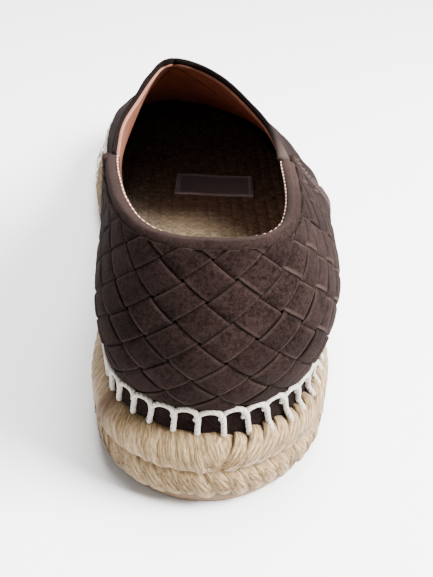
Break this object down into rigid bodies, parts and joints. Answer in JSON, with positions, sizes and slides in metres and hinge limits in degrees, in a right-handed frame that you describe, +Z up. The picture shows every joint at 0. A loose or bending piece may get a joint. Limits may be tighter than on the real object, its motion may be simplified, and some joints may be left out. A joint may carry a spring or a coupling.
{
  "type": "espadrille",
  "caption": "Slip-on espadrille for the right foot: hollow suede upper with a woven heel, blanket-stitched to a braided jute sole on thin rubber.",
  "frame": {"origin": "on the floor, under the middle of the shoe's box", "axes": "+Y from the heel to the toe along the longest side, +X to the outer side of the foot, +Z up"},
  "size_m": [0.0846, 0.2532, 0.081],
  "materials": {
    "rubber": "thin tan rubber, matt",
    "jute": "braided natural jute, fibrous",
    "insole_jute": "braided jute laid lengthwise, fibrous",
    "suede": "dark brown suede, napped and slightly worn",
    "lining": "russet leather lining, smooth and matt",
    "yarn": "thick off-white cotton yarn",
    "label_cloth": "plain grey woven patch, blank"
  },
  "bodies": {
    "root": {"rubber_outsole": "rubber", "jute_sole": "jute", "insole": "insole_jute", "upper": "suede", "stitch_yarn": "yarn", "insole_label": "label_cloth"}
  },
  "joints": []
}
